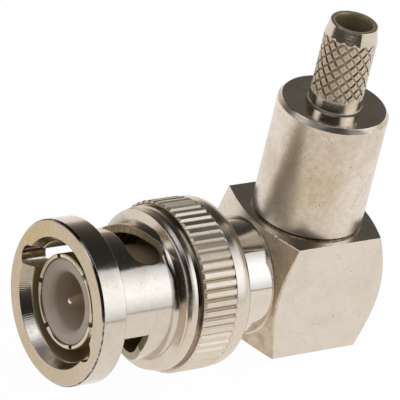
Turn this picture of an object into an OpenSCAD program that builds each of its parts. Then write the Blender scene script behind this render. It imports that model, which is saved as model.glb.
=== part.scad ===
// Right angle BNC plug with a bayonet coupling nut, a square elbow block
// and a knurled crimp stem. The plug axis is X and the mouth faces -X.
// The cable leaves upwards along +Z. All sizes are in millimetres.

/* [Coupling nut] */

// Outside diameter of the front flange
nut_flange_d = 14.5; // [13.5:0.1:15.5]

// Length of the front flange
nut_flange_l = 2.45; // [2:0.05:3]

// Outside diameter of the slotted neck
nut_neck_d = 11.8; // [11.4:0.05:12.4]

// Inside diameter that slides over the mating sleeve
nut_bore_d = 10.4; // [10:0.05:10.8]

// Inside diameter at the front edge of the mouth
nut_mouth_d = 11.45; // [11:0.05:12]

// Overall length of the nut
nut_l = 15.5; // [14:0.1:17]

/* [Bayonet slots] */

// Width of the straight entry of each slot
slot_w = 2.4; // [2.2:0.05:2.6]

// Radius that the entry groove reaches in the flange
slot_reach_r = 6.32; // [6:0.02:6.5]

// Angle of the first entry, from +Y towards +Z
slot_entry_deg = 16.5; // [0:0.5:90]

// Turn from the entry to the centre of the detent hole
slot_turn_deg = 90.8; // [80:0.2:100]

// Distance of the detent hole from the front face
detent_x = 6.66; // [6:0.02:7.2]

// Diameter of the detent hole
detent_d = 3.4; // [2.4:0.1:3.6]

/* [Straight knurl] */

// Number of teeth around the nut
knurl_teeth = 56; // [40:1:72]

// Diameter over the tooth tips
knurl_d = 15.1; // [14.5:0.05:15.6]

// Depth of the teeth
knurl_depth = 0.24; // [0.14:0.02:0.6]

// Length of the toothed band
knurl_l = 3.3; // [2.5:0.05:4]

/* [Outer contact] */

// Diameter over the contact fingers
finger_d = 8.3; // [8:0.02:8.5]

// Where the finger tips stand behind the nut's front face
finger_x = 0.9; // [0.5:0.05:1.5]

// Number of slots between the fingers
finger_slots = 6; // [4:1:8]

// Width of the slots between the fingers
finger_slot_w = 0.45; // [0.3:0.05:0.7]

// Length of the slots between the fingers
finger_slot_l = 6.5; // [5:0.1:8]

/* [Centre contact] */

// Diameter of the pin
pin_d = 1.35; // [1.3:0.01:1.4]

// Where the pin's tip stands behind the nut's front face
pin_x = 1.35; // [1:0.05:2]

/* [Elbow block] */

// Width and height of the square block
block_w = 11.15; // [10:0.05:13]

// Where the front of the block starts
block_x = 19.15; // [18:0.05:20]

// Length of the block
block_l = 11.7; // [10:0.05:13]

// Diameter of the short round neck in front of the block
neck_d = 10.4; // [10:0.05:10.8]

/* [Cable barrel and stem] */

// Outside diameter of the barrel
barrel_d = 9.84; // [9:0.02:10.4]

// Height of the barrel's top face above the plug axis
barrel_top = 16.68; // [14:0.02:20]

// Outside diameter of the crimp stem
stem_d = 4.66; // [4:0.02:5.4]

// Inside diameter of the crimp stem
stem_bore_d = 3.4; // [2.6:0.05:4]

// Height of the stem's tip above the plug axis
stem_top = 24.6; // [22:0.05:28]

// Number of grooves in each direction of the diamond knurl
stem_starts = 15; // [10:1:20]

// Height of one diamond along the stem
stem_pitch = 1.17; // [0.8:0.01:1.6]

// Depth of the diamond grooves
stem_depth = 0.16; // [0.1:0.01:0.25]

/* [Clearances] */

// Radial gap between the nut's web and the spigot that it turns on
run_gap = 0.06; // [0.02:0.01:0.1]

// Radial gap between pieces that are seated in each other for good
seat_gap = 0.02; // [0.01:0.01:0.05]

// How far the nut can be drawn forward against its spring
draw_l = 0.6; // [0.3:0.05:0.8]

/* [Hidden] */

smooth = 96;
eps = 0.01;

nickel = [0.78, 0.75, 0.70];
gold = [0.83, 0.68, 0.36];
white = [0.90, 0.89, 0.87];
spring_steel = [0.62, 0.62, 0.60];
silicone = [0.72, 0.30, 0.22];

flange_r = nut_flange_d / 2;
neck_r = nut_neck_d / 2;
bore_r = nut_bore_d / 2;
mouth_r = nut_mouth_d / 2;
tooth_r = knurl_d / 2;
root_r = tooth_r - knurl_depth;
collar_r = tooth_r - 0.05;
shoulder_r = tooth_r - 0.53;
land_r = tooth_r - 0.38;
groove_r = tooth_r - 0.8;
knurl_end = nut_l - 1.9;
knurl_x = knurl_end - knurl_l;
shoulder_x = knurl_x - 1.6;

// inside of the nut, from the front to the back
web_l = 0.9;
web_x = nut_l - 1.05 - web_l;
rear_bore_r = neck_d / 2 + 0.25;

// the front body that carries the fingers
finger_r = finger_d / 2;
finger_in_r = finger_r - 0.38;
finger_end = finger_x + finger_slot_l + 0.5;
body_bore_r = finger_r - 0.6;
spigot_r = finger_r + 0.15;
web_r = spigot_r + run_gap;
ring_groove_r = spigot_r - 0.35;
ring_groove_x = web_x + web_l + 0.03;
ring_l = 0.58;
ring_r = rear_bore_r - 0.2;
spigot_end = block_x + 1.4;

// the insulator and the pin inside the front body
insulator_front_x = finger_x + 0.1;
insulator_front_r = finger_in_r - seat_gap;
insulator_r = body_bore_r - seat_gap;
recess_r = finger_in_r - 1.3;
recess_round = 0.75;
recess_end = 6.4;
pin_r = pin_d / 2;
pin_taper_l = 2.05;
pin_back_r = pin_r + 0.2;
pin_collar_r = 1.05;
pin_collar_x = 8.4;

// the spring washers between the body flange and the web, from the web forwards
thrust_l = 0.28;
thrust_x = web_x - seat_gap - thrust_l;
wave_strip = 0.25;
wave_l = draw_l + wave_strip + 0.06;
wave_x = thrust_x - seat_gap - wave_l;
body_flange_r = bore_r - 0.12;
body_flange_l = 0.8;
body_flange_x = wave_x - seat_gap - body_flange_l;
gasket_r = body_flange_r - 0.03;
gasket_l = 0.68;
gasket_edge = 0.1;
gasket_x = body_flange_x - seat_gap - gasket_l;

// the block and its bores
block_end = block_x + block_l;
cable_x = block_x + block_l / 2;
neck_x = ring_groove_x + ring_l + 0.09;
chamber_r = body_bore_r + 0.05;
solder_end = cable_x + 1.3;
solder_slot_w = 0.9;

// the barrel and the stem
barrel_r = barrel_d / 2;
barrel_spigot_r = barrel_r - 0.72;
spigot_z = chamber_r + 0.3;
stem_r = stem_d / 2;
stem_base_r = stem_r + 0.27;
stem_base_z = barrel_top - 3.71;
stem_foot_l = 0.4;
stem_tip_r = stem_r - 0.3;
lower_bore_r = stem_base_r - 0.3;

// the cap behind the barrel's spigot, which closes the soldering hole
cap_r = chamber_r + 1;
cap_x = cable_x + barrel_spigot_r + 0.25;
chamber_end = cap_x - 0.2;

// the diamond knurl, as cells with one corner on each groove
stem_cells = 6;
stem_rise = stem_pitch / stem_cells;
stem_knurl_z = barrel_top + 1.27;
stem_rows = floor((stem_top - 0.98 - stem_knurl_z) / stem_rise);
stem_shift = 2;
stem_turn_deg = 2;

// the slots of the bayonet, in turns from the middle of the entry
slot_half_deg = asin(slot_w / 2 / neck_r);
slot_front_x = 3.55;
slot_back_x = 6;
ramp_level_x = detent_x - detent_d / 2 + 0.05;
ramp_level_deg = 64;
ramp_start_deg = slot_half_deg - 2;
ramp_split_deg = ramp_level_deg + 1.5;
ramp_back_deg = 10;
ramp_rise = (detent_x + detent_d / 2 - slot_back_x) / (slot_turn_deg - ramp_back_deg);
ramp_end_deg = slot_turn_deg - 4;

// A solid turned about the plug axis, from points of radius and X
module turned_x(points) {
    rotate([0, 90, 0])
        rotate_extrude($fn = smooth)
            polygon(points);
}

// A solid turned about the cable axis, from points of radius and height
module turned_z(points) {
    translate([cable_x, 0, 0])
        rotate_extrude($fn = smooth)
            polygon(points);
}

// The shell of the nut before the slots are milled and the teeth are rolled
module nut_shell() {
    turned_x(concat([
        [mouth_r, 0],
        [flange_r - 0.2, 0],
        [flange_r, 0.2],
        [flange_r, nut_flange_l - 0.08],
        [flange_r - 0.08, nut_flange_l],
        [neck_r, nut_flange_l]],
        [for (a = [0:5:32]) [neck_r + 0.95 * (1 - cos(a)), shoulder_x - 0.63 + 0.95 * sin(a)]],
        [[neck_r + 0.16, shoulder_x - 0.07],
        [neck_r + 0.22, shoulder_x - 0.12],
        [shoulder_r - 0.14, shoulder_x + 0.02]],
        [for (a = [15:15:90]) [shoulder_r - 0.12 + 0.12 * sin(a), shoulder_x + 0.14 - 0.12 * cos(a)]],
        [[shoulder_r - 0.03, shoulder_x + 0.19],
        [groove_r + 0.12, shoulder_x + 0.21],
        [groove_r + 0.1, shoulder_x + 0.4],
        [land_r - 0.1, shoulder_x + 0.56],
        [land_r - 0.04, shoulder_x + 0.6],
        [land_r, shoulder_x + 0.8],
        [land_r, shoulder_x + 1.12],
        [land_r - 0.05, shoulder_x + 1.18],
        [groove_r, shoulder_x + 1.2],
        [groove_r, knurl_x],
        [root_r - 0.12, knurl_x],
        [root_r - 0.12, knurl_end],
        [collar_r - 0.12, knurl_end],
        [collar_r, knurl_end + 0.1]],
        [for (a = [0:7.5:90]) [collar_r - 0.85 + 0.85 * cos(a), nut_l - 1.25 + 1.25 * sin(a)]],
        [[rear_bore_r + 0.1, nut_l],
        [rear_bore_r, nut_l - 0.1],
        [rear_bore_r, web_x + web_l],
        [web_r, web_x + web_l],
        [web_r, web_x],
        [bore_r, web_x],
        [bore_r, 1.05],
        [bore_r + 0.1, 0.95]]));
}

// The toothed band, as one ring with V grooves and a chamfer in front
module nut_teeth() {
    step = 360 / knurl_teeth;
    intersection() {
        translate([knurl_x, 0, 0])
            rotate([0, 90, 0])
                linear_extrude(height = knurl_l + eps)
                    difference() {
                        polygon([for (i = [0:knurl_teeth - 1], k = [0:2])
                            let (
                                a = (i + [-0.5, -0.24, 0.24][k]) * step,
                                r = [root_r, tooth_r, tooth_r][k]
                            )
                            [r * cos(a), r * sin(a)]]);
                        circle(r = root_r - 0.3, $fn = smooth);
                    }
        turned_x([
            [root_r - 0.5, knurl_x - 1],
            [tooth_r - 0.18 - 1.03, knurl_x - 1],
            [tooth_r + 0.03, knurl_x + 0.21],
            [tooth_r + 0.03, knurl_end + 1],
            [root_r - 0.5, knurl_end + 1]]);
    }
}

// Front and back edge of the ramp at a turn from the entry
function ramp_front(t) = slot_front_x + (ramp_level_x - slot_front_x) * t / ramp_level_deg;
function ramp_back(t) = slot_back_x + ramp_rise * (t - ramp_back_deg);

// The turns between which the ramp is cut in straight pieces: rising first, then level
function ramp_turns() = concat(
    [for (i = [0:7]) ramp_start_deg + (ramp_split_deg - ramp_start_deg) * i / 8],
    [for (i = [0:3]) ramp_split_deg + (ramp_end_deg - ramp_split_deg) * i / 3]);

// One bayonet slot: entry groove, ramp and detent hole
module bayonet_slot() {
    turns = ramp_turns();
    level_from = ramp_level_deg - 1;
    level_to = slot_turn_deg - 2;
    rotate([slot_entry_deg, 0, 0]) {
        translate([-1, 3.5, -slot_w / 2])
            cube([nut_flange_l + 2, slot_reach_r - slot_w / 2 - 3.5, slot_w]);
        translate([-1, slot_reach_r - slot_w / 2, 0])
            rotate([0, 90, 0])
                cylinder(h = nut_flange_l + 2, d = slot_w, $fn = 48);
        translate([nut_flange_l, 4.2, -slot_w / 2])
            cube([slot_back_x - nut_flange_l, 2.6, slot_w]);
    }
    for (i = [0:len(turns) - 2]) {
        t0 = turns[i];
        t1 = turns[i + 1];
        level = t0 > ramp_level_deg;
        half = 6.3 * tan((t1 - t0) / 2);
        rotate([slot_entry_deg + (t0 + t1) / 2, 0, 0])
            translate([0, 4.4, 0])
                rotate([-90, 0, 0])
                    linear_extrude(height = 2.4)
                        polygon([
                            [level ? ramp_level_x + 0.4 : ramp_front(t0), half],
                            [level ? ramp_level_x + 0.4 : ramp_front(t1), -half],
                            [ramp_back(t1), -half],
                            [ramp_back(t0), half]]);
    }
    rotate([slot_entry_deg, 0, 0])
        translate([ramp_level_x, 0, 0])
            rotate([0, 90, 0])
                linear_extrude(height = 1.2)
                    polygon([for (c = [[4.4, level_from], [7, level_from], [7, level_to], [4.4, level_to]])
                        [-c[0] * sin(c[1]), c[0] * cos(c[1])]]);
    rotate([slot_entry_deg + slot_turn_deg, 0, 0])
        translate([detent_x, 4.2, 0])
            rotate([-90, 0, 0])
                cylinder(h = 2.7, d = detent_d, $fn = 64);
}

module coupling_nut() {
    color(nickel)
        difference() {
            union() {
                nut_shell();
                nut_teeth();
            }
            bayonet_slot();
            rotate([180, 0, 0])
                bayonet_slot();
        }
}

module outer_contact() {
    color(nickel)
        difference() {
            turned_x([
                [finger_r - 0.3, finger_x],
                [finger_r - 0.07, finger_x],
                [finger_r, finger_x + 0.1],
                [finger_r, finger_x + 1.4],
                [finger_r - 0.12, finger_x + 2],
                [finger_r - 0.12, body_flange_x],
                [body_flange_r, body_flange_x],
                [body_flange_r, body_flange_x + body_flange_l],
                [spigot_r, body_flange_x + body_flange_l],
                [spigot_r, ring_groove_x],
                [ring_groove_r, ring_groove_x],
                [ring_groove_r, ring_groove_x + ring_l + 0.04],
                [spigot_r, ring_groove_x + ring_l + 0.04],
                [spigot_r, spigot_end - 0.2],
                [spigot_r - 0.2, spigot_end],
                [body_bore_r, spigot_end],
                [body_bore_r, finger_end],
                [finger_in_r, finger_end],
                [finger_in_r, finger_x + 0.08]]);
            for (i = [0:finger_slots - 1])
                rotate([-3 + i * 360 / finger_slots, 0, 0])
                    translate([finger_x - 1, 3, -finger_slot_w / 2])
                        cube([finger_slot_l + 1, 2, finger_slot_w]);
        }
}

module front_insulator() {
    color(white)
        turned_x(concat([
            [insulator_front_r - 0.1, insulator_front_x],
            [insulator_front_r, insulator_front_x + 0.1],
            [insulator_front_r, finger_end - seat_gap],
            [insulator_r, finger_end - seat_gap],
            [insulator_r, spigot_end - 0.1],
            [pin_collar_r + seat_gap, spigot_end - 0.1],
            [pin_collar_r + seat_gap, pin_collar_x],
            [pin_back_r + seat_gap, pin_collar_x],
            [pin_back_r + seat_gap, recess_end],
            [recess_r, recess_end]],
            [for (a = [0:9:90]) [
                recess_r + recess_round * (1 - cos(a)),
                insulator_front_x + recess_round * (1 - sin(a))]]));
}

module centre_contact() {
    color(gold)
        difference() {
            turned_x([
                [0, pin_x],
                [0.16, pin_x],
                [0.28, pin_x + 0.08],
                [pin_r, pin_x + pin_taper_l],
                [pin_r, recess_end],
                [pin_back_r, recess_end],
                [pin_back_r, pin_collar_x + seat_gap],
                [pin_collar_r, pin_collar_x + seat_gap],
                [pin_collar_r, solder_end],
                [0, solder_end]]);
            translate([cable_x - solder_slot_w, -solder_slot_w / 2, -0.4])
                cube([solder_end - cable_x + 2 * solder_slot_w, solder_slot_w, 2 * pin_collar_r]);
        }
}

module face_gasket() {
    color(silicone)
        turned_x([
            [finger_r + seat_gap, gasket_x + gasket_l],
            [finger_r + seat_gap, gasket_x + gasket_edge],
            [finger_r + seat_gap + gasket_edge, gasket_x],
            [gasket_r - gasket_edge, gasket_x],
            [gasket_r, gasket_x + gasket_edge],
            [gasket_r, gasket_x + gasket_l]]);
}

// A ring of spring strip with three waves, computed point by point
module wave_washer() {
    parts = 60;
    in_r = spigot_r + 0.1;
    out_r = body_flange_r - 0.05;
    sway = (wave_l - wave_strip) / 2;
    mid = wave_x + wave_l / 2;
    corners = [[in_r, -1], [out_r, -1], [out_r, 1], [in_r, 1]];
    points = [for (i = [0:parts - 1], c = corners)
        let (a = i * 360 / parts)
        [mid + sway * sin(3 * a) + c[1] * wave_strip / 2, c[0] * cos(a), c[0] * sin(a)]];
    faces = [for (i = [0:parts - 1], k = [0:3], h = [0:1])
        let (
            j = (i + 1) % parts,
            m = (k + 1) % 4
        )
        h == 0 ? [4 * i + k, 4 * j + k, 4 * j + m] : [4 * i + k, 4 * j + m, 4 * i + m]];
    color(spring_steel)
        polyhedron(points = points, faces = faces, convexity = 6);
}

module thrust_washer() {
    color(spring_steel)
        turned_x([
            [web_r, thrust_x],
            [body_flange_r - 0.05, thrust_x],
            [body_flange_r - 0.05, thrust_x + thrust_l],
            [web_r, thrust_x + thrust_l]]);
}

module retaining_ring() {
    color(spring_steel)
        difference() {
            turned_x([
                [ring_groove_r + seat_gap, ring_groove_x + seat_gap],
                [ring_r, ring_groove_x + seat_gap],
                [ring_r, ring_groove_x + ring_l],
                [ring_groove_r + seat_gap, ring_groove_x + ring_l]]);
            translate([ring_groove_x - 1, -0.6, -7])
                cube([3, 1.2, 7]);
        }
}

module elbow_block() {
    half = block_w / 2;
    front_slope = 0.42;
    back_slope = 0.6;
    color(nickel)
        difference() {
            union() {
                intersection() {
                    translate([block_x, -half, -half])
                        cube([block_l, block_w, block_w]);
                    turned_x([
                        [0, block_x],
                        [neck_d / 2, block_x],
                        [8.2, block_x + 0.15 + front_slope * (8.2 - neck_d / 2)],
                        [8.2, block_end - back_slope * (8.2 - neck_d / 2)],
                        [neck_d / 2, block_end],
                        [0, block_end]]);
                }
                turned_x([
                    [spigot_r + seat_gap, neck_x],
                    [neck_d / 2 - 0.15, neck_x],
                    [neck_d / 2, neck_x + 0.15],
                    [neck_d / 2, block_x + 1],
                    [spigot_r + seat_gap, block_x + 1]]);
            }
            turned_x([
                [0, neck_x - 1],
                [spigot_r + seat_gap, neck_x - 1],
                [spigot_r + seat_gap, spigot_end + seat_gap],
                [chamber_r, spigot_end + seat_gap],
                [chamber_r, cap_x],
                [cap_r, cap_x],
                [cap_r, block_end + 1],
                [0, block_end + 1]]);
            turned_z([
                [0, 0],
                [lower_bore_r + seat_gap, 0],
                [lower_bore_r + seat_gap, spigot_z],
                [barrel_spigot_r + seat_gap, spigot_z],
                [barrel_spigot_r + seat_gap, half + 1],
                [0, half + 1]]);
        }
}

module rear_cap() {
    color(nickel)
        turned_x([
            [0, cap_x + seat_gap],
            [cap_r - seat_gap, cap_x + seat_gap],
            [cap_r - seat_gap, block_end - 0.12],
            [cap_r - seat_gap - 0.12, block_end],
            [1.15, block_end],
            [0, block_end - 0.35]]);
}

module elbow_insulator() {
    color(white)
        difference() {
            turned_x([
                [pin_collar_r + seat_gap, spigot_end + 0.05],
                [chamber_r - seat_gap, spigot_end + 0.05],
                [chamber_r - seat_gap, chamber_end],
                [2.2, chamber_end],
                [2.2, cable_x - 1.6],
                [pin_collar_r + seat_gap, cable_x - 1.6]]);
            translate([cable_x, 0, 0])
                cylinder(h = 5, r = 1.3, $fn = 48);
        }
}

module cable_barrel() {
    seat = block_w / 2 + seat_gap;
    color(nickel)
        turned_z([
            [lower_bore_r, spigot_z + seat_gap],
            [barrel_spigot_r - 0.2, spigot_z + seat_gap],
            [barrel_spigot_r, spigot_z + 0.22],
            [barrel_spigot_r, seat],
            [barrel_r - 0.18, seat],
            [barrel_r, seat + 0.18],
            [barrel_r, barrel_top - 0.42],
            [barrel_r - 0.3, barrel_top],
            [stem_base_r + seat_gap, barrel_top],
            [stem_base_r + seat_gap, stem_base_z - seat_gap],
            [lower_bore_r, stem_base_z - seat_gap]]);
}

// Radius of the stem at a cell corner of the diamond knurl
function stem_cut(i, j) =
    (i + j + stem_shift) % stem_cells == 0 || (i - j - stem_shift + stem_cells * 100) % stem_cells == 0
    ? stem_r - stem_depth
    : stem_r + 0.01;

// The outside of the stem with the diamond knurl, computed point by point.
// Each ring is [height, row of the knurl or -1, radius where it is smooth].
module stem_outside() {
    around = stem_starts * stem_cells;
    knurl_end_z = stem_knurl_z + stem_rows * stem_rise;
    rings = concat(
        [[stem_base_z, -1, stem_base_r]],
        [for (a = [0:18:90]) [
            barrel_top + 0.03 + stem_foot_l * (1 - cos(a)),
            -1,
            stem_base_r - (stem_base_r - stem_r) * sin(a)]],
        [[stem_knurl_z - 0.08, -1, stem_r]],
        [for (j = [0:stem_rows]) [stem_knurl_z + j * stem_rise, j, stem_r]],
        [[knurl_end_z + 0.08, -1, stem_r],
        [stem_top - 0.85, -1, stem_r - 0.02],
        [stem_top - 0.1, -1, stem_tip_r + 0.05],
        [stem_top, -1, stem_tip_r]]);
    last = len(rings) - 1;
    points = [for (ring = rings, i = [0:around - 1])
        let (
            r = ring[1] < 0 ? ring[2] : stem_cut(i, ring[1]),
            a = stem_turn_deg + i * 360 / around
        )
        [cable_x + r * cos(a), r * sin(a), ring[0]]];
    sides = [for (k = [0:last - 1], i = [0:around - 1], h = [0:1])
        let (
            n = (i + 1) % around,
            a = k * around + i,
            b = k * around + n,
            c = (k + 1) * around + n,
            d = (k + 1) * around + i,
            rising = (i - rings[k][1] - stem_shift + stem_cells * 100) % stem_cells == 0
        )
        rising
        ? (h == 0 ? [a, c, b] : [a, d, c])
        : (h == 0 ? [a, d, b] : [b, d, c])];
    ends = [
        [for (i = [0:around - 1]) i],
        [for (i = [0:around - 1]) last * around + around - 1 - i]];
    polyhedron(points = points, faces = concat(sides, ends), convexity = 8);
}

module crimp_stem() {
    color(nickel)
        difference() {
            stem_outside();
            translate([cable_x, 0, stem_base_z - 1])
                cylinder(h = stem_top - stem_base_z + 2, d = stem_bore_d, $fn = smooth);
        }
}

module stem_insulator() {
    color(white)
        turned_z([
            [1, spigot_z - 0.1],
            [lower_bore_r - seat_gap, spigot_z - 0.1],
            [lower_bore_r - seat_gap, stem_base_z - 0.06],
            [1, stem_base_z - 0.06]]);
}

coupling_nut();
outer_contact();
front_insulator();
centre_contact();
face_gasket();
wave_washer();
thrust_washer();
retaining_ring();
elbow_block();
rear_cap();
elbow_insulator();
cable_barrel();
crimp_stem();
stem_insulator();
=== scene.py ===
"""Looks of a right angle BNC plug: nickel finishes, white insulator, studio and camera.

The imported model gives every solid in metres. The plug axis is X with the mouth
towards -X, and the cable axis is +Z at CABLE_X. Sizes on the plug are given
in millimetres, and the studio around it in metres.
"""

import math
from collections import namedtuple

import bmesh
import bpy
from mathutils import Matrix, Vector


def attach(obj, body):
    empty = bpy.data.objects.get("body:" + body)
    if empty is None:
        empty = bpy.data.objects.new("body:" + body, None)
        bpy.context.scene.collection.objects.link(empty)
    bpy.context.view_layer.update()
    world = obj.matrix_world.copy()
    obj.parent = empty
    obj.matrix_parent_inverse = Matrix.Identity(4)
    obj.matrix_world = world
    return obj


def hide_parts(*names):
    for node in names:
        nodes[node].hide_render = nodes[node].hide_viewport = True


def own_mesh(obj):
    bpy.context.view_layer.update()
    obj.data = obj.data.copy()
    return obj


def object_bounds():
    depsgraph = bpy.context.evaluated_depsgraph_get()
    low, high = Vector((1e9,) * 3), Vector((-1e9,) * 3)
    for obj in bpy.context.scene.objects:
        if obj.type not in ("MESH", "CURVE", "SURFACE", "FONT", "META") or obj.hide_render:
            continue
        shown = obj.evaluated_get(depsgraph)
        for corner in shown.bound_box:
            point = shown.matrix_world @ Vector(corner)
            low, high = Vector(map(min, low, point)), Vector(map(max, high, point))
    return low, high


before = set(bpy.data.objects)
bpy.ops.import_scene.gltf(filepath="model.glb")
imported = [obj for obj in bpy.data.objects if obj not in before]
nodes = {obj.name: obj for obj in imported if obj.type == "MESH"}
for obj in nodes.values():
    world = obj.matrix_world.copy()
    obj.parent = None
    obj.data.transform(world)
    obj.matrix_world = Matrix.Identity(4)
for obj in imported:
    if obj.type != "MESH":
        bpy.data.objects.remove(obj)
cad_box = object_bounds()
scene = bpy.context.scene

MM = 0.001
CABLE_X = 25.0  # mm, where the cable axis crosses the plug axis
MIDDLE_X = CABLE_X * MM / 2
FLOOR_Z = cad_box[0].z

# The crimp stem and its diamond knurl, in mm
STEM_R = 2.33
STEM_BORE_R = 1.7
STEM_BASE_R = 2.6
STEM_BASE_Z = 12.97
STEM_TIP_R = 2.03
STEM_TIP_EASE = 0.04  # how far the edge at the tip is rounded
STEM_TOP = 24.6
STEM_EDGE = 0.03
STEM_STEPS = 360  # around the stem
BARREL_TOP = 16.68
CONE_Z = 23.35  # where the lead-in cone starts
FOOT_FLARE = 0.2
KNURL_Z = 17.95
KNURL_END_Z = 23.45
KNURL_STARTS = 15
KNURL_PITCH = 1.17  # the height of one diamond
KNURL_ROWS = 24  # rows of corners in one pitch
KNURL_RISE = 1 / 3  # of a pitch, where the grooves cross KNURL_Z
KNURL_TURN = math.radians(2)
GROOVE_SPACING = 0.75  # square to the groove
GROOVE_HALF = 0.13
GROOVE_DEPTH = 0.16
GROOVE_RUN_OUT = 0.15  # how far the grooves reach below KNURL_Z
GROOVE_FADE_LOW = 0.4  # over what height they grow to full depth
GROOVE_FADE_HIGH = 0.12


# Material maths
class Field:
    """A socket of a node tree, on which sums, products and powers add Math nodes."""

    def __init__(self, tree, socket):
        self.tree = tree
        self.socket = socket

    def maths(self, operation, *others):
        return self.tree.maths(operation, self, *others)

    def __add__(self, other):
        return self.maths("ADD", other)

    __radd__ = __add__

    def __mul__(self, other):
        return self.maths("MULTIPLY", other)

    __rmul__ = __mul__

    def __sub__(self, other):
        return self.maths("SUBTRACT", other)

    def __rsub__(self, other):
        return self.tree.maths("SUBTRACT", other, self)

    def __truediv__(self, other):
        return self.maths("DIVIDE", other)

    def __pow__(self, other):
        return self.maths("POWER", other)

    def ramp(self, low, high):
        """0 below low and 1 above high, with a smooth step between."""
        kind = {"interpolation_type": "SMOOTHSTEP"}
        values = {"Value": self, "From Min": low, "From Max": high}
        return self.tree.node("ShaderNodeMapRange", kind, values)


class Tree:
    """The node tree of a material or a world, whose nodes are made one by one."""

    def __init__(self, owner):
        owner.use_nodes = True
        self.owner = owner
        self.tree = owner.node_tree
        self.tree.nodes.clear()

    def node(self, kind, settings=None, inputs=None, output=0):
        """Adds one node, sets its properties, then its sockets, and returns an output."""
        made = self.tree.nodes.new(kind)
        for key, value in (settings or {}).items():
            setattr(made, key, value)
        named = inputs.items() if isinstance(inputs, dict) else enumerate(inputs or [])
        for key, value in named:
            socket = made.inputs[key]
            if isinstance(value, Field):
                self.tree.links.new(value.socket, socket)
            else:
                socket.default_value = value
        return Field(self, made.outputs[output]) if made.outputs else None

    def outputs(self, kind, names, inputs=None):
        """Several outputs of one new node."""
        made = self.node(kind, None, inputs).socket.node
        return [Field(self, made.outputs[name]) for name in names]

    def end(self, surface, kind="ShaderNodeOutputMaterial"):
        self.node(kind, None, {"Surface": surface})
        return self.owner

    def maths(self, operation, *values):
        return self.node("ShaderNodeMath", {"operation": operation}, values)

    def vector_maths(self, operation, inputs, output=0):
        return self.node("ShaderNodeVectorMath", {"operation": operation}, inputs, output)

    def place(self):
        """Object coordinates in millimetres."""
        metres = self.node("ShaderNodeTexCoord", output="Object")
        return self.vector_maths("SCALE", {0: metres, "Scale": 1 / MM})

    def parts(self, vector):
        return self.outputs("ShaderNodeSeparateXYZ", "XYZ", [vector])

    def join(self, x, y, z):
        return self.node("ShaderNodeCombineXYZ", None, [x, y, z])

    def noise(self, vector, scale, detail=3.0, rough=0.55, twist=0.0):
        values = {
            "Vector": vector,
            "Scale": scale,
            "Detail": detail,
            "Roughness": rough,
            "Distortion": twist,
        }
        return self.node("ShaderNodeTexNoise", None, values, "Fac")

    def blend(self, amount, first, second):
        """first where amount is 0 and second where it is 1, for colours."""
        kind = {"data_type": "RGBA", "blend_type": "MIX"}
        return self.node("ShaderNodeMix", kind, {0: amount, 6: first, 7: second}, 2)

    def bump(self, height, distance, strength=1.0, normal=None):
        values = {"Height": height, "Distance": distance, "Strength": strength}
        if normal is not None:
            values["Normal"] = normal
        return self.node("ShaderNodeBump", None, values)

    def emission(self, colour, strength):
        return self.node("ShaderNodeEmission", None, {"Color": colour, "Strength": strength})


def new_finish(name):
    return Tree(bpy.data.materials.new(name))


def tone(red, green, blue):
    return (red, green, blue, 1.0)


def grey(level):
    return tone(level, level, level)


def shaded(finish, values):
    return finish.end(finish.node("ShaderNodeBsdfPrincipled", None, values))


def below(value, low, high):
    """1 below low and 0 above high, with a smooth step between."""
    return 1.0 - value.ramp(low, high)


def band(value, low, high, soft=0.1):
    """1 between low and high, with soft ends, on a distance in mm."""
    return value.ramp(low, low + soft) * below(value, high - soft, high)


def turned_coordinates(place_parts, about):
    """Distance along and from the plug axis, or the cable axis, in mm."""
    x, y, z = place_parts
    if about == "plug":
        return x, (y * y + z * z) ** 0.5
    off = x - CABLE_X
    return z, (off * off + y * y) ** 0.5


def worn_edges(finish, radius):
    """The normal with its edges eased over radius mm, and how near an edge is, 0 to 1."""
    eased = finish.node("ShaderNodeBevel", {"samples": 6}, {"Radius": radius * MM})
    flat = finish.node("ShaderNodeNewGeometry", output="Normal")
    alike = finish.vector_maths("DOT_PRODUCT", [eased, flat], "Value")
    return eased, below(alike, 0.86, 0.985)


# What lies on the nickel plate, and painted light and shade
# TARNISH also stands for painted shade, GROOVE_FLOOR is dirt and painted shade, PALE_FILM is
# painted light, OLD_OIL is painted shade, GRIME darkens edges in patches, and BRIGHT_BURR lightens
# in dull speckles.
TARNISH = tone(0.50, 0.385, 0.25)
ROLLED_PLATE = tone(0.74, 0.62, 0.47)
YELLOW_STAIN = tone(0.54, 0.39, 0.17)
RUBBED_EDGE = tone(0.86, 0.82, 0.76)
BROWN_FILM = tone(0.57, 0.43, 0.25)
BRIGHT_BURR = tone(0.94, 0.87, 0.76)
PALE_FILM = tone(0.85, 0.76, 0.65)
SOOT = tone(0.07, 0.055, 0.04)
DULL_INSIDE = tone(0.385, 0.285, 0.145)
GROOVE_FLOOR = tone(0.24, 0.18, 0.11)
OLD_OIL = tone(0.05, 0.036, 0.03)
PIT = tone(0.10, 0.075, 0.05)
GRIME = tone(0.14, 0.10, 0.06)

EDGE_RADIUS = 0.07  # mm, like the depths
LINE_DEPTH = 0.004
MOTTLE_DEPTH = 0.012
PIT_DEPTH = 0.01
CHATTER_MARKS = 190.0  # around the axis

Spot = namedtuple("Spot", "x y z across")


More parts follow.
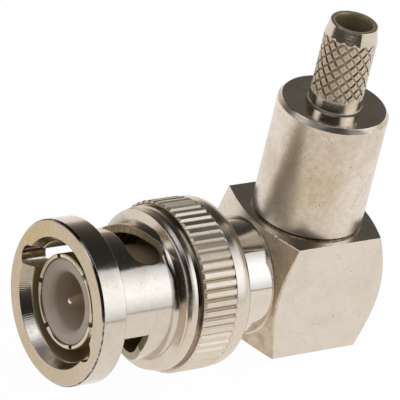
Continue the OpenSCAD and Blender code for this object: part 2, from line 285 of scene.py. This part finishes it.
def nickel(name, tint, stain, about, roughness, lines, clouds, mottle, specks, **places):
    """Nickel plate on turned brass: tool lines, cloudy stains, small pits, rubbed edges, and
    painted light and shade in places.

    tint is the clean plate and stain its cloudy patches. about is the axis it was turned
    on. lines, clouds, mottle and specks say how strong the tool lines, the clouds, the
    mottled dull film and the small pits are.

    places names what differs by place. Each is a function of a Spot, which is x, y, z and
    the distance from the axis in mm, and it gives 0 to 1: polished is smooth and clean,
    inside is dull and brown, chatter has fine marks across the tool's path, deep is dirt
    and painted shade in grooves and hollows, rolled is rough from the knurling wheel, aged is
    tarnish and painted shade, stained has a dull brown film, worn is lighter and duller in
    speckles, soot is a speckled dark line, oiled is painted shade, a dark film, pale is
    painted light, light and dull, and patch is a yellow stain.
    """
    finish = new_finish(name)
    place = finish.place()
    x, y, z = finish.parts(place)
    along, across = turned_coordinates((x, y, z), about)
    where = {key: mask(Spot(x, y, z, across)) for key, mask in places.items()}
    eased, edge = worn_edges(finish, EDGE_RADIUS)
    cloudy = finish.noise(place, 0.32, 4.0, 0.6, 0.6).ramp(0.42, 0.68)
    mottles = finish.noise(place, 1.9, 5.0, 0.62)
    fewer = 0.08 * specks
    pits = finish.noise(place, 6.5, 2.0, 0.5).ramp(0.7 - fewer, 0.76 - fewer)
    dirt = pits * finish.noise(place, 0.55, 2.0, 0.5, 0.3).ramp(0.45, 0.6)
    turning = finish.noise(finish.join(along, across, 0.0), 7.0, 2.0, 0.6)
    dull = mottles.ramp(0.35, 0.8) * mottle
    rough = roughness + (mottles - 0.5) * (0.35 * mottle) + dirt * 0.2
    metal = 1.0
    if "polished" in where:
        kept = 1.0 - where["polished"]
        dull, dirt = dull * kept, dirt * (kept * 0.8 + 0.2)
        rough = rough * (kept * 0.6 + 0.4)
    colour = finish.blend(cloudy * clouds, tint, stain)
    colour = finish.blend(dull, colour, stain)
    # Tarnish, and painted shade in some places.
    if "aged" in where:
        veil = where["aged"] * (0.7 + (mottles - 0.5) * 0.8)
        colour = finish.blend(veil, colour, TARNISH)
        rough = rough + where["aged"] * 0.07
    if "rolled" in where:
        rough = rough + where["rolled"] * 0.2
        colour = finish.blend(where["rolled"] * 0.5, colour, ROLLED_PLATE)
    if "patch" in where:
        colour = finish.blend(where["patch"] * mottles.ramp(0.25, 0.7), colour, YELLOW_STAIN)
    colour = finish.blend(edge * mottles.ramp(0.4, 0.6) * 0.35, colour, RUBBED_EDGE)
    if "stained" in where:
        uneven = finish.noise(place, 0.9, 4.0, 0.6, 0.4).ramp(0.4, 0.65)
        film = where["stained"] * (0.5 + uneven * 0.5)
        colour = finish.blend(film, colour, BROWN_FILM)
        metal = 1.0 - film * 0.7
        rough = rough + where["stained"] * 0.05
    # Lighter and duller in speckles.
    if "worn" in where:
        burr = where["worn"] * finish.noise(place, 3.0, 3.0, 0.6).ramp(0.4, 0.5)
        colour = finish.blend(burr, colour, BRIGHT_BURR)
        metal = metal - burr * 0.6
        rough = rough + burr * 0.2
    # Painted light, which also makes the metal duller.
    if "pale" in where:
        colour = finish.blend(where["pale"], colour, PALE_FILM)
        metal = metal - where["pale"] * 0.7
    if "soot" in where:
        crumbs = finish.noise(place, 4.0, 3.0, 0.6).ramp(0.42, 0.52)
        colour = finish.blend(where["soot"] * (0.45 + crumbs * 0.5), colour, SOOT)
    if "inside" in where:
        colour = finish.blend(where["inside"] * 0.85, colour, DULL_INSIDE)
        rough = rough + where["inside"] * 0.2
        metal = metal - where["inside"] * 0.45
    # Dirt and painted shade in grooves and hollows.
    if "deep" in where:
        colour = finish.blend(where["deep"] * 0.8, colour, GROOVE_FLOOR)
        rough = rough + where["deep"] * 0.25
    # Painted shade, a dark film.
    if "oiled" in where:
        oil = where["oiled"] * (0.75 + (mottles - 0.5) * 0.9)
        colour = finish.blend(oil, colour, OLD_OIL)
    colour = finish.blend(dirt * min(0.8 * specks, 1.0), colour, PIT)
    # Darker in patches along the edges.
    grime = edge * finish.noise(place, 3.2, 3.0).ramp(0.5, 0.62)
    colour = finish.blend(grime * 0.7, colour, GRIME)
    rings = (turning - 0.5) * across.ramp(0.1, 1.2)
    if "chatter" in where:
        waves = (z.maths("ARCTAN2", y) * CHATTER_MARKS).maths("SINE")
        rings = rings + waves * where["chatter"] * (0.3 + cloudy) * 1.4
    relief = finish.bump(rings, LINE_DEPTH * MM, lines, eased)
    relief = finish.bump(mottles, MOTTLE_DEPTH * MM, mottle, relief)
    relief = finish.bump(1.0 - dirt, PIT_DEPTH * MM, 0.6 * specks, relief)
    values = {"Base Color": colour, "Metallic": metal, "Roughness": rough, "Normal": relief}
    return shaded(finish, values)


def white_insulator():
    """Turned fluoropolymer with faint rings, with painted shade to the left and painted warm brown
    shade deeper in the recess.
    """
    finish = new_finish("white_insulator")
    place = finish.place()
    x, y, z = finish.parts(place)
    along, across = turned_coordinates((x, y, z), "plug")
    rings = finish.noise(finish.join(along * 0.3, across, 0.0), 5.0, 2.0)
    clouds = finish.noise(place, 0.8, 3.0)
    # Painted warm brown shade deeper in the recess, less of it where y is above 0.
    depth = along.ramp(1.3, 5.5) * (1.0 - y.ramp(-2.6, 0.0) * 0.25)
    # Painted shade to the left.
    left = y.ramp(0.5, 3.6)
    colour = finish.blend(clouds, tone(0.45, 0.36, 0.285), tone(0.53, 0.43, 0.35))
    colour = finish.blend(left * 0.7, colour, tone(0.33, 0.245, 0.17))
    colour = finish.blend(depth * 0.7, colour, tone(0.58, 0.42, 0.25))
    relief = finish.bump(rings, 0.01 * MM, 0.5, worn_edges(finish, 0.15)[0])
    values = {"Base Color": colour, "Roughness": 0.42 + rings * 0.1, "Normal": relief}
    return shaded(finish, values)


def soft_gasket():
    """Moulded silicone, olive with age, with a film of grease."""
    finish = new_finish("soft_gasket")
    place = finish.place()
    grain = finish.noise(place, 5.0, 3.0)
    film = finish.noise(place, 1.6, 2.0).ramp(0.4, 0.65)
    colour = finish.blend(grain, tone(0.13, 0.10, 0.045), tone(0.20, 0.15, 0.07))
    relief = finish.bump(grain, 0.02 * MM, 0.5)
    values = {"Base Color": colour, "Roughness": 0.5 - film * 0.3, "Normal": relief}
    return shaded(finish, values)


def spring_steel():
    """Rolled spring strip."""
    finish = new_finish("spring_steel")
    x, y, z = finish.parts(finish.place())
    grain = finish.noise(finish.join(x * 3.0, y * 0.3, z * 3.0), 4.0, 3.0)
    colour = finish.blend(grain, tone(0.36, 0.35, 0.33), tone(0.50, 0.49, 0.47))
    relief = finish.bump(grain, 0.004 * MM, 0.6)
    values = {
        "Base Color": colour,
        "Metallic": 1.0,
        "Roughness": 0.25 + grain * 0.15,
        "Normal": relief,
    }
    return shaded(finish, values)


# Places on the nut, each 0 to 1, with positions in mm
SHARP = 0.03  # how wide the soft ends of a narrow band are
CONE_FOOT_X = (0.94, 1.02)  # where the cone of the mouth meets the bore
CONE_RIM = (5.80, 5.88)  # the radius of the cone at the front face
FLANGE_RIM = (7.06, 7.1)  # the radius where the flange's front is chamfered
TEETH_X = 10.2  # the straight knurl, from here
TEETH_END_X = 13.6
TEETH_FOOT = (7.2, 7.25)  # the radius at the foot of its teeth


def flange_edge(at, low, high):
    """The chamfer around the flange's front, from low to high on X."""
    return band(at.x, low, high, SHARP) * at.across.ramp(*FLANGE_RIM)


def front_face(at):
    return below(at.x, 0.02, 0.05)


def yellow_spot(at):
    """Beside the notch of the flange that looks up to the left."""
    off = at.y - 5.2
    up = at.z - 4.6
    return below(off * off + up * up, 3.0, 12.0) * below(at.x, 0.1, 0.4) * 0.9


def mouth_cone(at, rim=CONE_RIM):
    """The whole of the cone inside the mouth, out to its rim."""
    return band(at.x, 0.01, 0.97, 0.02) * below(at.across, *rim)


def left_of_cone(at):
    """Painted shade, brown and dull, on the left part of the cone inside the mouth."""
    depth = below(at.x, *CONE_FOOT_X) * at.x.ramp(0.01, 0.03)
    return depth * at.y.ramp(4.2, 5.2) * at.z.ramp(-2.6, -0.5) * 0.55


# The bore, dull and brown, with painted shade on the left of the mouth's cone.
def nut_bore(at):
    return below(at.across, *CONE_RIM) * (at.x.ramp(*CONE_FOOT_X) + left_of_cone(at))


def shoulder(at):
    """The fillet and the face that the neck runs into."""
    return band(at.x, 7.95, 8.75, 0.3) * below(at.across, 6.9, 7.0)


def land_groove(at):
    return band(at.x, 8.88, 9.29, SHARP) * below(at.across, 7.08, 7.13)


def knurl_gap(at):
    """The wide groove in front of the knurl."""
    return band(at.x, 9.88, 10.33, SHARP) * below(at.across, 7.1, 7.3)


def knurl_grooves(at):
    floors = below(at.across, 7.31, 7.38) * at.across.ramp(*TEETH_FOOT)
    return band(at.x, TEETH_X, TEETH_END_X) * floors


def knurl_rough(at):
    """The knurl, the collar behind it, and the lands in front of it."""
    knurl = band(at.x, TEETH_X, TEETH_END_X + 0.05) * at.across.ramp(*TEETH_FOOT)
    collar = at.x.ramp(TEETH_END_X, TEETH_END_X + 0.1)
    lands = band(at.x, 8.6, TEETH_X, 0.2) * at.across.ramp(6.1, 6.4)
    return knurl * 1.3 + collar * 0.5 + lands * 0.5


def nut_oil(at):
    """Painted shade in the grooves on the upper side, on the flange's edge and low in the mouth.
    """
    grooves = shoulder(at) * band(at.z, 1.2, 5.4, 0.9)
    grooves = grooves + land_groove(at) * band(at.z, 0.6, 6.4, 1.0)
    grooves = grooves + knurl_gap(at) * band(at.z, -0.6, 6.0, 1.3) * 0.8
    flange = flange_edge(at, 0.05, 0.22) * at.z.ramp(2.5, 5.0) * 0.8
    mouth = mouth_cone(at) * at.y.ramp(2.4, 3.4) * below(at.z, -3.0, -2.2) * 0.35
    return grooves + flange + mouth


def nut_pale(at):
    """Painted light on the lower side of the wide groove, and on the foot of the mouth's cone."""
    gap = knurl_gap(at) * below(at.z, -2.5, 0.0)
    foot = mouth_cone(at) * band(at.y, -1.0, 2.6, 0.8) * below(at.z, -4.6, -4.0)
    return gap + foot * 0.6


nut_plate = nickel(
    "nut_plate",
    tint=tone(0.66, 0.58, 0.49),
    stain=tone(0.54, 0.45, 0.34),
    about="plug",
    roughness=0.13,
    lines=0.5,
    clouds=0.35,
    mottle=0.2,
    specks=0.5,
    inside=nut_bore,
    chatter=lambda at: mouth_cone(at, (5.72, 5.78)),
    # Dirt and painted shade in the knurl's grooves, stronger towards the top.
    deep=lambda at: knurl_grooves(at) * (at.z.ramp(-2.5, 1.5) * 0.7 + 0.3),
    oiled=nut_oil,
    pale=nut_pale,
    rolled=knurl_rough,
    aged=lambda at: front_face(at) * (0.7 + at.y.ramp(-6.5, -2.5) * 0.35),
    soot=lambda at: flange_edge(at, 0.06, 0.2),
    patch=yellow_spot,
)


def finger_ends(at):
    """The ends of the fingers on the left of the mouth, where shade is painted."""
    return at.y.ramp(2.2, 4.0) * below(at.x, 1.0, 1.4)


contact_plate = nickel(
    "contact_plate",
    tint=tone(0.66, 0.56, 0.42),
    stain=tone(0.46, 0.36, 0.22),
    about="plug",
    roughness=0.2,
    lines=0.8,
    clouds=0.5,
    mottle=0.3,
    specks=0.6,
    inside=lambda at: band(at.x, 1.8, 16.2, 0.6),
    # Painted shade on the contact under the nut.
    deep=lambda at: band(at.x, 4.6, 9.0, 0.6) * 0.5,
    # Painted shade on the ends of the fingers on the left of the mouth.
    aged=lambda at: finger_ends(at) * 1.15,
    oiled=lambda at: finger_ends(at) * 0.3,
)

# Places on the block
CHAMFER_SLOPE = 0.42  # how far the turned front leans back for each mm from the axis


def block_top(at):
    return at.z.ramp(5.53, 5.56)


def block_front(at, low, high):
    """What lies in front of the turned front, with its soft edge from low to high on X."""
    return below(at.x - at.across * CHAMFER_SLOPE, low, high)


def chamfered_front(at):
    return block_front(at, 17.2, 17.3) * at.across.ramp(5.25, 5.4) * (1.0 - block_top(at))


def worn_corner(at):
    """The edge between the front of the block and its top, lighter and duller in speckles."""
    return at.z.ramp(5.49, 5.53) * block_front(at, 17.15, 17.2) * below(at.y, -2.5, -1.0)


def block_polish(at):
    """The neck in front of the block, and the block's top."""
    neck = below(at.x, 19.0, 19.1) * below(at.across, 5.3, 5.5)
    return neck + block_top(at) * 0.7


block_plate = nickel(
    "block_plate",
    tint=tone(0.71, 0.63, 0.54),
    stain=tone(0.60, 0.51, 0.40),
    about="plug",
    roughness=0.22,
    lines=0.3,
    clouds=0.35,
    mottle=0.2,
    specks=0.7,
    polished=block_polish,
    stained=lambda at: chamfered_front(at) * below(at.y, -3.0, 1.0) * 0.9,
    worn=worn_corner,
)

# Places on the barrel and the stem
BARREL_WALL = 4.95  # just outside the barrel
GROOVES_TOP = 23.3  # where the grooves show no more


def toward(at, direction, low, high=BARREL_WALL):
    """How far a place lies from the cable axis towards a direction in degrees, 0 to 1."""
    turn = math.radians(direction)
    return ((at.x - CABLE_X) * math.cos(turn) + at.y * math.sin(turn)).ramp(low, high)


def barrel_chamfer(at):
    return band(at.z, 16.26, 16.66, 0.04)


def barrel_tarnish(at):
    """Tarnish in a narrow streak on the left and on the chamfer, and painted shade on the side
    that faces the camera.
    """
    streak = toward(at, -162, 4.75) * at.z.ramp(7.0, 12.0) * below(at.z, 14.5, 16.2)
    side = toward(at, -128, 3.6) * below(at.z, 16.1, 16.3)
    return streak * 0.75 + side * 0.6 + barrel_chamfer(at) * 0.55


def barrel_oil(at):
    """Painted shade: a blotch on the left, and the right end of the chamfer."""
    blotch = toward(at, -172, 4.82) * band(at.z, 8.2, 11.2, 1.3)
    return blotch * 0.15 + toward(at, -112, 4.2, 4.6) * barrel_chamfer(at) * 0.8


def barrel_patches(at):
    right = toward(at, -124, 4.5) * band(at.z, 8.0, 13.5, 2.5)
    low = toward(at, -154, 4.5) * band(at.z, 5.6, 10.5, 1.5)
    return right * 0.35 + low * 0.8


barrel_plate = nickel(
    "barrel_plate",
    tint=tone(0.77, 0.68, 0.585),
    stain=tone(0.58, 0.47, 0.34),
    about="cable",
    roughness=0.3,
    lines=0.4,
    clouds=0.5,
    mottle=0.5,
    specks=0.8,
    polished=lambda at: at.z.ramp(16.6, 16.66),
    aged=barrel_tarnish,
    oiled=barrel_oil,
    # Painted light low down on the barrel's left side.
    pale=lambda at: toward(at, -160, 4.3) * below(at.z, 7.0, 13.0) * 0.55,
    soot=lambda at: below(at.z, 5.74, 5.8) * 0.7,
    patch=barrel_patches,
)


def pad_middle(at):
    """How near a place is to the middle of a pad of the diamond knurl, 0 to 1."""
    angle = at.y.maths("ARCTAN2", at.x - CABLE_X)
    turns = (angle - KNURL_TURN) * (KNURL_STARTS / math.tau)
    rise = (at.z - KNURL_Z) / KNURL_PITCH + KNURL_RISE
    inner = 1.0
    for phase in (turns + rise, turns - rise):
        off = (phase - phase.maths("ROUND")).maths("ABSOLUTE")
        inner = inner * (off * 2.0).ramp(0.3, 1.0)
    return inner


def stem_knurl(at):
    return band(at.z, 17.68, 23.43)


def stem_foot(at):
    return band(at.z, 16.6, 16.95)


def stem_end_face(at):
    return at.z.ramp(24.57, 24.59)


def stem_grooves(at):
    """Dirt and painted shade on the floors of the grooves, and a little painted shade on the
    middle of each pad.
    """
    floors = below(at.across, 2.2, 2.3) * band(at.z, 17.7, GROOVES_TOP)
    pads = pad_middle(at) * band(at.z, KNURL_Z, GROOVES_TOP) * at.across.ramp(2.3, 2.32)
    return floors * 0.45 + pads * 0.5


def stem_rough(at):
    knurl = stem_knurl(at) * at.across.ramp(2.26, 2.32)
    foot = stem_foot(at) * at.across.ramp(2.335, 2.36)
    return knurl + stem_end_face(at) * 1.2 + foot * 1.6


def stem_tarnish(at):
    """Tarnish on the knurl and the end face, and painted shade on the knurl, strongest on the
    left.
    """
    return stem_knurl(at) * (0.05 + toward(at, -150, 0.4, 2.3) * 0.85) + stem_end_face(at)


stem_plate = nickel(
    "stem_plate",
    tint=tone(0.66, 0.58, 0.48),
    stain=tone(0.52, 0.42, 0.28),
    about="cable",
    roughness=0.17,
    lines=0.4,
    clouds=0.5,
    mottle=0.25,
    specks=0.6,
    deep=stem_grooves,
    # Painted shade over the flare at the stem's foot.
    oiled=lambda at: stem_foot(at) * at.across.ramp(2.335, 2.4) * 0.8,
    polished=lambda at: band(at.z, 23.4, 24.57, SHARP),
    rolled=stem_rough,
    inside=lambda at: below(at.across, 1.74, 1.8),
    aged=stem_tarnish,
)
pin_plate = nickel(
    "pin_plate",
    tint=tone(0.66, 0.58, 0.46),
    stain=tone(0.52, 0.42, 0.28),
    about="plug",
    roughness=0.15,
    lines=0.5,
    clouds=0.4,
    mottle=0.2,
    specks=0.3,
    stained=lambda at: at.x.ramp(1.42, 1.6) * 0.8,
)
insulator = white_insulator()
gasket = soft_gasket()
steel = spring_steel()

finish_of = {
    "coupling_nut": nut_plate,
    "outer_contact": contact_plate,
    "front_insulator": insulator,
    "centre_contact": pin_plate,
    "face_gasket": gasket,
    "wave_washer": steel,
    "thrust_washer": steel,
    "retaining_ring": steel,
    "elbow_block": block_plate,
    "rear_cap": block_plate,
    "elbow_insulator": insulator,
    "cable_barrel": barrel_plate,
    "crimp_stem": stem_plate,
    "stem_insulator": insulator,
}
for node_name, plate in finish_of.items():
    slots = nodes[node_name].data.materials
    slots.clear()
    slots.append(plate)


# Shapes that stand for a CAD node
def new_object(name, shape, material):
    """An object made of a bmesh, which is freed."""
    mesh = bpy.data.meshes.new(name)
    shape.to_mesh(mesh)
    shape.free()
    made = bpy.data.objects.new(name, mesh)
    made.data.materials.append(material)
    scene.collection.objects.link(made)
    return made


def turned(points, centre_x, angle, steps, closed=False, merge=True):
    """A line of points in metres, spun about an upright axis."""
    shape = bmesh.new()
    rim = [shape.verts.new(point) for point in points]
    following = rim[1:] + rim[:1] if closed else rim[1:]
    edges = [shape.edges.new(pair) for pair in zip(rim, following)]
    bmesh.ops.spin(
        shape,
        geom=rim + edges,
        cent=(centre_x, 0, 0),
        axis=(0, 0, 1),
        angle=angle,
        steps=steps,
        use_merge=merge,
    )
    return shape


def cone_inset(height):
    """How far the lead-in at the stem's tip lies inside the knurled part, in mm."""
    share = (height - CONE_Z) / (STEM_TOP - STEM_EDGE - CONE_Z)
    return max(0.0, share * (STEM_R - STEM_TIP_R - STEM_TIP_EASE))


def groove_depth(angle, height):
    """How deep the crossing helices of V grooves cut at a place on the stem, in mm."""
    from_foot = height - KNURL_Z + GROOVE_RUN_OUT
    to_end = KNURL_END_Z - height
    if from_foot <= 0.0 or to_end <= 0.0:
        return 0.0
    fade = min(1.0, from_foot / GROOVE_FADE_LOW, to_end / GROOVE_FADE_HIGH)
    turns = (angle - KNURL_TURN) * KNURL_STARTS / math.tau
    rise = (height - KNURL_Z) / KNURL_PITCH + KNURL_RISE
    depth = 0.0
    for phase in (turns + rise, turns - rise):
        off = abs(phase - round(phase)) * GROOVE_SPACING
        cut = GROOVE_DEPTH * (1.0 - off / GROOVE_HALF) * fade
        depth = max(depth, cut - cone_inset(height))
    return depth


def stem_outline():
    """Half the section of the stem without its grooves, as radius and height in mm."""
    step = KNURL_PITCH / KNURL_ROWS
    rows = int((KNURL_END_Z - KNURL_Z) / step) + 4
    outline = [
        (STEM_BORE_R, STEM_BASE_Z),
        (STEM_BASE_R, STEM_BASE_Z),
        (STEM_BASE_R, BARREL_TOP),
    ]
    for turn in (math.radians(15 * i) for i in range(7)):
        radius = STEM_BASE_R - (STEM_BASE_R - STEM_R) * math.sin(turn)
        outline.append((radius, BARREL_TOP + 0.01 + FOOT_FLARE * (1 - math.cos(turn))))
    outline.append((STEM_R, KNURL_Z - 5 * step))
    heights = [KNURL_Z + step * (i - 3) for i in range(rows)]
    heights += [KNURL_END_Z + 0.01 + 0.12 * i for i in range(10)]
    outline += [(STEM_R - cone_inset(height), height) for height in heights]
    outline += [
        (STEM_TIP_R + STEM_TIP_EASE, STEM_TOP - STEM_EDGE),
        (STEM_TIP_R, STEM_TOP),
        (STEM_BORE_R + STEM_EDGE, STEM_TOP),
        (STEM_BORE_R, STEM_TOP - STEM_EDGE),
        (STEM_BORE_R, STEM_TOP - 0.5),
    ]
    return outline


def knurled_stem():
    """The crimp stem with V grooves finer than the solid has."""
    axis_x = CABLE_X * MM
    points = [((CABLE_X + radius) * MM, 0, height * MM) for radius, height in stem_outline()]
    shape = turned(points, axis_x, math.tau, STEM_STEPS, closed=True)
    bmesh.ops.remove_doubles(shape, verts=shape.verts, dist=1e-7)
    for vert in shape.verts:
        off = vert.co - Vector((axis_x, 0, vert.co.z))
        if off.length > STEM_TIP_R * MM:
            depth = groove_depth(math.atan2(off.y, off.x), vert.co.z / MM)
            vert.co -= off.normalized() * max(depth, 0.0) * MM
    bmesh.ops.recalc_face_normals(shape, faces=shape.faces)
    for face in shape.faces:
        face.smooth = True
    for edge in shape.edges:
        edge.smooth = edge.calc_face_angle(0.0) < math.radians(50)
    made = new_object("knurled_stem", shape, stem_plate)
    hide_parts("crimp_stem")
    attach(made, "plug_body")


def pressed_spring():
    """The wave washer, which flattens against the front body as the nut is drawn forward, copied
    as it is with its doubles merged.
    """
    shape = bmesh.new()
    shape.from_mesh(nodes["wave_washer"].data)
    bmesh.ops.remove_doubles(shape, verts=shape.verts, dist=1e-7)
    made = new_object("pressed_spring", shape, steel)
    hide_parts("wave_washer")
    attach(made, "plug_body")
    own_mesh(made)


knurled_stem()
pressed_spring()


# The studio, in metres
FLOOR_RADIUS = 2.0
SOFTBOX_REACH = 0.6  # from the middle of the plug
DOME_GLOW = 1.2
SWEEP_FOOT = 0.165  # share of the dome's height, below which the sweep is even
SWEEP_FALL = -2.1
SWEEP_GLOW = 0.0229
FRONT_GLOW = 0.035
FRONT_FOOT_GLOW = 0.02  # what the front has more at its foot
CARD_TINT = tone(0.92, 1.0, 1.12)
ROOM_TINT = tone(1.0, 0.95, 0.88)
STRIP_TINT = tone(0.10, 0.09, 0.08)
FRONT_X, FRONT_Y = -0.966, -0.259  # where the dark front of the room lies


def seen_directly(tree):
    """1 for rays from the camera, a mirror or clear material, and 0 for the others."""
    names = ("Is Camera Ray", "Is Glossy Ray", "Is Transmission Ray")
    camera_ray, mirror_ray, clear_ray = tree.outputs("ShaderNodeLightPath", names)
    return camera_ray.maths("MAXIMUM", mirror_ray).maths("MAXIMUM", clear_ray)


def stage_piece(name, shape, material):
    made = new_object(name, shape, material)
    return made


def only_in_mirrors(piece):
    """The piece shows in the metal and nowhere else."""
    piece.visible_camera = False
    piece.visible_diffuse = False
    piece.visible_shadow = False
    piece.visible_transmission = False


def glowing(finish, colour, strength, share):
    """A light whose strength varies over its surface: share of it, from 0 to 1."""
    lights = [finish.emission(colour, level) for level in (0.0, strength)]
    return finish.node("ShaderNodeMixShader", None, [share, *lights])


def white_floor():
    """A round white floor that keeps a soft shadow."""
    finish = new_finish("white_floor")
    diffuse = finish.node("ShaderNodeBsdfDiffuse", None, {"Color": grey(0.85)})
    glow = finish.emission(grey(1.0), 1.02)
    share = seen_directly(finish) * 0.95
    surface = finish.node("ShaderNodeMixShader", None, [share, diffuse, glow])
    shape = bmesh.new()
    middle = Matrix.Translation((MIDDLE_X, 0, FLOOR_Z))
    bmesh.ops.create_circle(shape, cap_ends=True, segments=96, radius=FLOOR_RADIUS, matrix=middle)
    stage_piece("studio_floor", shape, finish.end(surface))


def glow_card(name, azimuth, elevation, width, height, strength, edge):
    """A softbox that faces the plug, brightest in the middle and edge of that at its rim."""
    finish = new_finish(name)
    x, y = finish.parts(finish.node("ShaderNodeTexCoord", output="Object"))[:2]
    reach = ((x * x) / (width * width / 4) + (y * y) / (height * height / 4)) ** 0.5
    share = 1.0 - reach.ramp(0.1, 1.1) * (1.0 - edge)
    glow = glowing(finish, CARD_TINT, strength, share)
    shape = bmesh.new()
    bmesh.ops.create_grid(shape, x_segments=1, y_segments=1, size=0.5)
    bmesh.ops.scale(shape, vec=(width, height, 1), verts=shape.verts)
    made = stage_piece(name, shape, finish.end(glow))
    turn, lift = math.radians(azimuth), math.radians(elevation)
    flat = math.cos(lift)
    away = Vector((math.cos(turn) * flat, math.sin(turn) * flat, math.sin(lift)))
    made.location = Vector((MIDDLE_X, 0, 0)) + away * SOFTBOX_REACH
    made.rotation_mode = "QUATERNION"
    made.rotation_quaternion = away.to_track_quat("Z", "Y")
    made.visible_camera = False
    return made


def dark_strip(name, azimuth, width, near, far):
    """An unlit part of the room, from near to far, each a distance and a height."""
    finish = new_finish(name)
    glow = finish.emission(STRIP_TINT, 1.0)
    start = math.radians(azimuth - width / 2)
    points = [
        (reach * math.cos(start), reach * math.sin(start), height) for reach, height in (near, far)
    ]
    shape = turned(points, 0.0, math.radians(width), 16, merge=False)
    only_in_mirrors(stage_piece(name, shape, finish.end(glow)))


def dark_ceiling(radius, steps=24):
    """The room in the metal, as a dome: a white sweep that fades upwards, and a dark front."""
    finish = new_finish("dark_room")
    x, y, z = finish.parts(finish.node("ShaderNodeTexCoord", output="Object"))
    height = z / radius
    flat = (x * x + y * y) ** 0.5
    front = ((x * FRONT_X + y * FRONT_Y) / flat).ramp(-0.04, 0.55)
    sweep = (height.maths("MAXIMUM", SWEEP_FOOT) ** SWEEP_FALL) * SWEEP_GLOW
    level = sweep * (1.0 - front) + front * FRONT_GLOW + (1.0 - height) * front * FRONT_FOOT_GLOW
    glow = glowing(finish, ROOM_TINT, DOME_GLOW, level / DOME_GLOW)
    lifts = [math.radians(90 * i / steps) for i in range(steps + 1)]
    points = [(radius * math.cos(a), 0, radius * math.sin(a)) for a in lifts]
    shape = turned(points, 0.0, math.tau, 64)
    only_in_mirrors(stage_piece("dark_ceiling", shape, finish.end(glow)))


def studio_world(ambient):
    """White behind all that is seen directly or in a mirror, and an even grey light."""
    scene.world = bpy.data.worlds.new("studio")
    sky = Tree(scene.world)
    colours = [grey(ambient), grey(1.0)]
    lights = [sky.node("ShaderNodeBackground", None, {"Color": colour}) for colour in colours]
    mixed = sky.node("ShaderNodeMixShader", None, [seen_directly(sky), *lights])
    sky.end(mixed, "ShaderNodeOutputWorld")


white_floor()
studio_world(ambient=0.55)
dark_ceiling(radius=1.6)
glow_card(
    "right_softbox",
    azimuth=-46,
    elevation=28,
    width=0.68,
    height=0.60,
    strength=1.72,
    edge=0.6,
)
glow_card(
    "left_softbox",
    azimuth=163,
    elevation=41,
    width=0.30,
    height=0.36,
    strength=1.6,
    edge=0.6,
)
top_softbox = glow_card(
    "top_softbox",
    azimuth=-145,
    elevation=69,
    width=0.42,
    height=0.38,
    strength=1.7,
    edge=0.5,
)
only_in_mirrors(top_softbox)
dark_strip("dark_strip", azimuth=-46, width=62, near=(0.55, FLOOR_Z), far=(0.55, 0.006))
dark_strip(
    "dark_front", azimuth=-153, width=150, near=(0.18, FLOOR_Z + 0.001), far=(0.56, 0.008)
)


# The camera, at the photograph's place
EYE = Vector((-0.20132, -0.25662, 0.19313))
RIGHT = Vector((0.81884, -0.53637, 0.20446))
UP = Vector((0.12196, 0.51063, 0.85111))

lens = bpy.data.cameras.new("camera")
lens.lens = 400.9  # mm
lens.sensor_width = 36.0  # mm
lens.clip_start = 0.01
lens.clip_end = 10.0
camera = bpy.data.objects.new("camera", lens)
facing = Matrix((RIGHT, UP, RIGHT.cross(UP))).transposed()
camera.matrix_world = Matrix.Translation(EYE) @ facing.to_4x4()
scene.collection.objects.link(camera)
scene.camera = camera
scene.view_settings.view_transform = "Standard"
